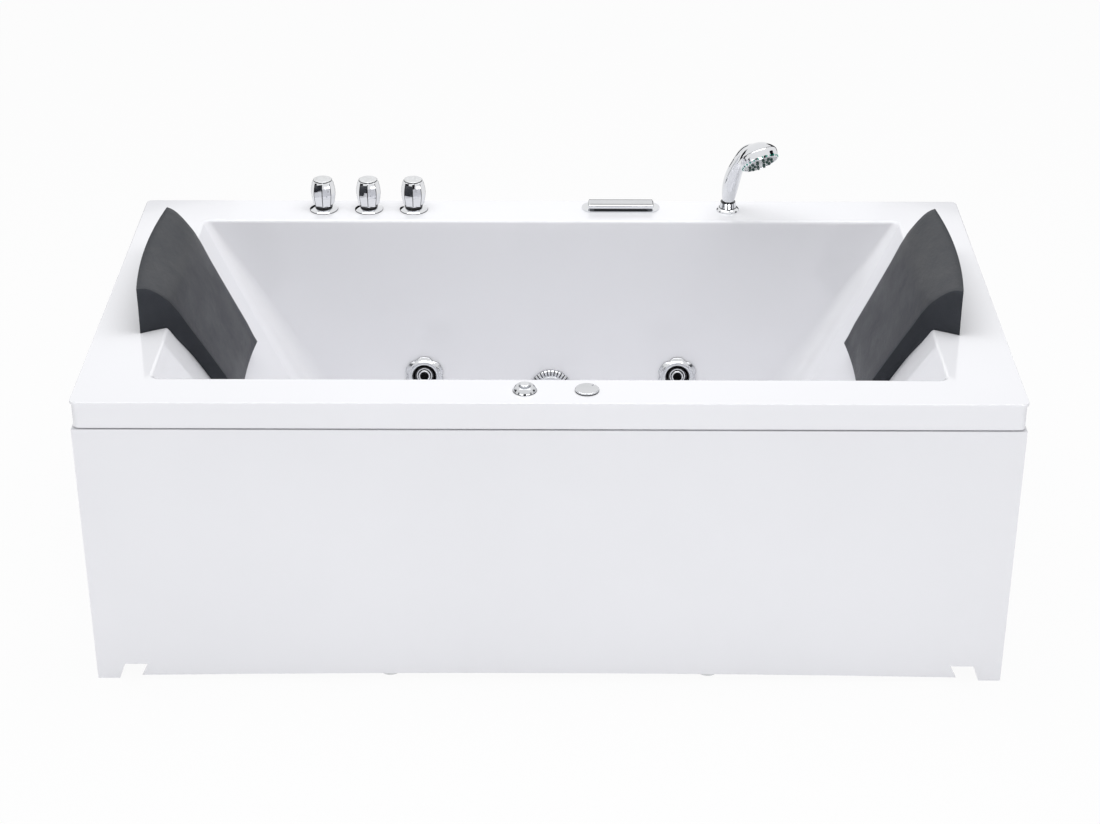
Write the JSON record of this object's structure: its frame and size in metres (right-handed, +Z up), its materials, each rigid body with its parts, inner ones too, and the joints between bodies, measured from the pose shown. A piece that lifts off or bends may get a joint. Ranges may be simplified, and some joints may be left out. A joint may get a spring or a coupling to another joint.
{
  "type": "jetted bathtub",
  "caption": "Rectangular bathtub with sloping headrests, deck taps, waterfall spout, hand shower and water jets, on a steel frame with a front apron",
  "frame": {"origin": "on the floor under the middle of the tub", "axes": "+X along the tub to the right as seen from its front, +Y to the wall side where the taps are, +Z up"},
  "size_m": [1.7, 0.9, 0.7778],
  "materials": {
    "shell_acrylic": "polished white acrylic",
    "panel_acrylic": "polished white acrylic",
    "cushion_skin": "soft skin with a fine leather grain",
    "black_plastic": "moulded black plastic",
    "frame_steel": "grey powder coat",
    "zinc_steel": "zinc plated steel",
    "plywood": "raw plywood",
    "spacer_plastic": "moulded light plastic",
    "chrome": "polished chrome plating",
    "jet_plastic": "satin grey plastic",
    "spout_plinth": "dark satin steel",
    "brass": "plain brass",
    "face_plastic": "light grey plastic",
    "teal_rubber": "soft teal silicone",
    "black_rubber": "black rubber",
    "pipe_plastic": "white pipe plastic",
    "air_tube": "translucent vinyl tube",
    "motor_casing": "painted cast aluminium"
  },
  "bodies": {
    "tub": {"tub_shell": "shell_acrylic", "front_apron": "panel_acrylic", "left_end_panel": "panel_acrylic", "right_end_panel": "panel_acrylic", "left_headrest": "cushion_skin", "right_headrest": "cushion_skin", "headrest_pegs": "black_plastic", "frame_rails": "frame_steel", "frame_cross_tubes": "frame_steel", "frame_legs": "frame_steel", "levelling_feet": "zinc_steel", "foot_lock_nuts": "zinc_steel", "base_board": "plywood", "panel_spacers": "spacer_plastic", "knob_flanges": "chrome", "valve_bodies": "brass", "deck_nuts": "brass", "supply_pipes": "brass", "spout_body": "chrome", "spout_base": "spout_plinth", "shower_socket": "chrome", "button_bezel": "chrome", "button_bellows": "black_rubber", "air_control_body": "chrome", "jet_bodies": "pipe_plastic", "jet_lock_nuts": "pipe_plastic", "suction_cover": "chrome", "suction_body": "pipe_plastic", "suction_pipe": "pipe_plastic", "water_manifold": "pipe_plastic", "air_manifold": "air_tube", "drain_flange": "chrome", "waste_body": "pipe_plastic", "overflow_plate": "chrome", "overflow_pipe": "black_plastic", "pump_casing": "black_plastic", "pump_motor": "motor_casing", "motor_end_cover": "black_plastic", "pump_base": "plywood", "control_box": "black_plastic", "cable_gland": "black_plastic"},
    "hot_tap": {"hot_knob": "chrome"},
    "cold_tap": {"cold_knob": "chrome"},
    "diverter": {"diverter_knob": "chrome"},
    "hand_shower": {"shower_handle": "chrome"},
    "spray_face": {"shower_face": "face_plastic", "shower_nozzles": "teal_rubber"},
    "push_button": {"button_cap": "chrome"},
    "air_control": {"air_knob": "chrome"},
    "overflow_turn": {"overflow_knob": "chrome"},
    "drain_plug": {"drain_plug": "chrome"},
    "pump_rotor": {"pump_rotor": "zinc_steel"},
    "jet_ring_1": {"jet_ring_1": "chrome"},
    "jet_nozzle_1": {"jet_nozzle_1": "jet_plastic"},
    "jet_ring_2": {"jet_ring_2": "chrome"},
    "jet_nozzle_2": {"jet_nozzle_2": "jet_plastic"},
    "jet_ring_3": {"jet_ring_3": "chrome"},
    "jet_nozzle_3": {"jet_nozzle_3": "jet_plastic"},
    "jet_ring_4": {"jet_ring_4": "chrome"},
    "jet_nozzle_4": {"jet_nozzle_4": "jet_plastic"}
  },
  "joints": [
    {"name": "hot_tap_turn", "type": "hinge", "parent": "tub", "child": "hot_tap", "pos_m": [-0.474, 0.404, 0.59], "axis": [0, 0, 1], "range_deg": [0, 90]},
    {"name": "cold_tap_turn", "type": "hinge", "parent": "tub", "child": "cold_tap", "pos_m": [-0.38, 0.404, 0.59], "axis": [0, 0, 1], "range_deg": [0, 90]},
    {"name": "diverter_turn", "type": "hinge", "parent": "tub", "child": "diverter", "pos_m": [-0.2865, 0.404, 0.59], "axis": [0, 0, 1], "range_deg": [0, 90]},
    {"name": "hand_shower_lift", "type": "slide", "parent": "tub", "child": "hand_shower", "axis": [0, 0, 1], "range_m": [0, 0.2]},
    {"name": "spray_face_turn", "type": "hinge", "parent": "hand_shower", "child": "spray_face", "pos_m": [0.417, 0.31913, 0.747], "axis": [0.3442, -0.5961, -0.7254], "range_deg": [-30, 30]},
    {"name": "push_button_press", "type": "slide", "parent": "tub", "child": "push_button", "axis": [0, 0, -1], "range_m": [0, 0.004], "stiffness_N_per_m": 300, "springref_m": -0.003, "deforming": ["button_bellows"]},
    {"name": "air_control_turn", "type": "hinge", "parent": "tub", "child": "air_control", "pos_m": [0.068, -0.4, 0.59], "axis": [0, 0, 1], "range_deg": [0, 120]},
    {"name": "overflow_turn", "type": "hinge", "parent": "tub", "child": "overflow_turn", "pos_m": [0, -0.34, 0.49], "axis": [0, 0.9889, 0.1483], "range_deg": [0, 120]},
    {"name": "drain_plug_lift", "type": "slide", "parent": "tub", "child": "drain_plug", "axis": [0, 0, 1], "range_m": [0, 0.01]},
    {"name": "jet_ring_1_turn", "type": "hinge", "parent": "tub", "child": "jet_ring_1", "pos_m": [-0.267, 0.2959, 0.256], "axis": [0, -0.9889, 0.1483], "range_deg": [0, 90]},
    {"name": "jet_nozzle_1_tilt", "type": "hinge", "parent": "jet_ring_1", "child": "jet_nozzle_1", "pos_m": [-0.267, 0.29788, 0.2557], "axis": [1, 0, 0], "range_deg": [-15, 15]},
    {"name": "jet_ring_2_turn", "type": "hinge", "parent": "tub", "child": "jet_ring_2", "pos_m": [0.267, 0.2959, 0.256], "axis": [0, -0.9889, 0.1483], "range_deg": [0, 90]},
    {"name": "jet_nozzle_2_tilt", "type": "hinge", "parent": "jet_ring_2", "child": "jet_nozzle_2", "pos_m": [0.267, 0.29788, 0.2557], "axis": [1, 0, 0], "range_deg": [-15, 15]},
    {"name": "jet_ring_3_turn", "type": "hinge", "parent": "tub", "child": "jet_ring_3", "pos_m": [-0.267, -0.3049, 0.256], "axis": [0, 0.9889, 0.1483], "range_deg": [0, 90]},
    {"name": "jet_nozzle_3_tilt", "type": "hinge", "parent": "jet_ring_3", "child": "jet_nozzle_3", "pos_m": [-0.267, -0.30688, 0.2557], "axis": [1, 0, 0], "range_deg": [-15, 15]},
    {"name": "jet_ring_4_turn", "type": "hinge", "parent": "tub", "child": "jet_ring_4", "pos_m": [0.267, -0.3049, 0.256], "axis": [0, 0.9889, 0.1483], "range_deg": [0, 90]},
    {"name": "jet_nozzle_4_tilt", "type": "hinge", "parent": "jet_ring_4", "child": "jet_nozzle_4", "pos_m": [0.267, -0.30688, 0.2557], "axis": [1, 0, 0], "range_deg": [-15, 15]},
    {"name": "pump_rotor_spin", "type": "hinge", "parent": "tub", "child": "pump_rotor", "pos_m": [0.65, 0.07, 0.20917], "axis": [0, 1, 0], "continuous": true}
  ],
  "couplings": [
    {"joint": "drain_plug_lift", "follows": "overflow_turn", "m_per_rad": 0.00477}
  ]
}
